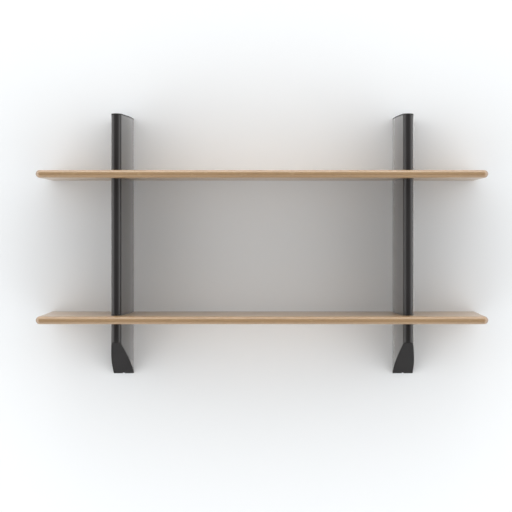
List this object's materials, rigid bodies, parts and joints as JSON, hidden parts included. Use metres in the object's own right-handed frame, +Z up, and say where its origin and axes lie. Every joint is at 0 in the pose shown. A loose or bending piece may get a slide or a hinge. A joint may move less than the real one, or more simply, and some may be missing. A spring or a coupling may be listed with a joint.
{
  "type": "wall shelf",
  "caption": "Wall shelf: round-edged oak boards notched over dark wing-shaped uprights with slanted lower ends, hung on wall rails.",
  "frame": {"origin": "middle of the lower board's back edge, on the wall plane", "axes": "+X to the right along the boards, +Y into the wall, +Z up; the room is on the -Y side"},
  "size_m": [1.45, 0.24, 0.863],
  "materials": {
    "oak": "light natural oak, satin lacquer",
    "black_coat": "black powder coat, satin, on an aluminium extrusion",
    "cap_grey": "dark grey moulded plastic, fine matte texture",
    "aluminium": "mill-finish extrusion",
    "zinc_steel": "zinc-plated steel"
  },
  "bodies": {
    "root": {"board_lower": "oak", "board_upper": "oak", "upright_left": "black_coat", "top_cap_left": "cap_grey", "bottom_cap_left": "cap_grey", "wall_rail_left": "aluminium", "hanger_block_left": "zinc_steel", "hanger_screw_left_1": "zinc_steel", "hanger_screw_left_2": "zinc_steel", "support_lower_left_left": "zinc_steel", "support_screw_lower_left_left_1": "zinc_steel", "support_screw_lower_left_left_2": "zinc_steel", "lock_screw_lower_left_left": "zinc_steel", "support_lower_left_right": "zinc_steel", "support_screw_lower_left_right_1": "zinc_steel", "support_screw_lower_left_right_2": "zinc_steel", "lock_screw_lower_left_right": "zinc_steel", "support_upper_left_left": "zinc_steel", "support_screw_upper_left_left_1": "zinc_steel", "support_screw_upper_left_left_2": "zinc_steel", "lock_screw_upper_left_left": "zinc_steel", "support_upper_left_right": "zinc_steel", "support_screw_upper_left_right_1": "zinc_steel", "support_screw_upper_left_right_2": "zinc_steel", "lock_screw_upper_left_right": "zinc_steel", "upright_right": "black_coat", "top_cap_right": "cap_grey", "bottom_cap_right": "cap_grey", "wall_rail_right": "aluminium", "hanger_block_right": "zinc_steel", "hanger_screw_right_1": "zinc_steel", "hanger_screw_right_2": "zinc_steel", "support_lower_right_left": "zinc_steel", "support_screw_lower_right_left_1": "zinc_steel", "support_screw_lower_right_left_2": "zinc_steel", "lock_screw_lower_right_left": "zinc_steel", "support_lower_right_right": "zinc_steel", "support_screw_lower_right_right_1": "zinc_steel", "support_screw_lower_right_right_2": "zinc_steel", "lock_screw_lower_right_right": "zinc_steel", "support_upper_right_left": "zinc_steel", "support_screw_upper_right_left_1": "zinc_steel", "support_screw_upper_right_left_2": "zinc_steel", "lock_screw_upper_right_left": "zinc_steel", "support_upper_right_right": "zinc_steel", "support_screw_upper_right_right_1": "zinc_steel", "support_screw_upper_right_right_2": "zinc_steel", "lock_screw_upper_right_right": "zinc_steel"}
  },
  "joints": []
}
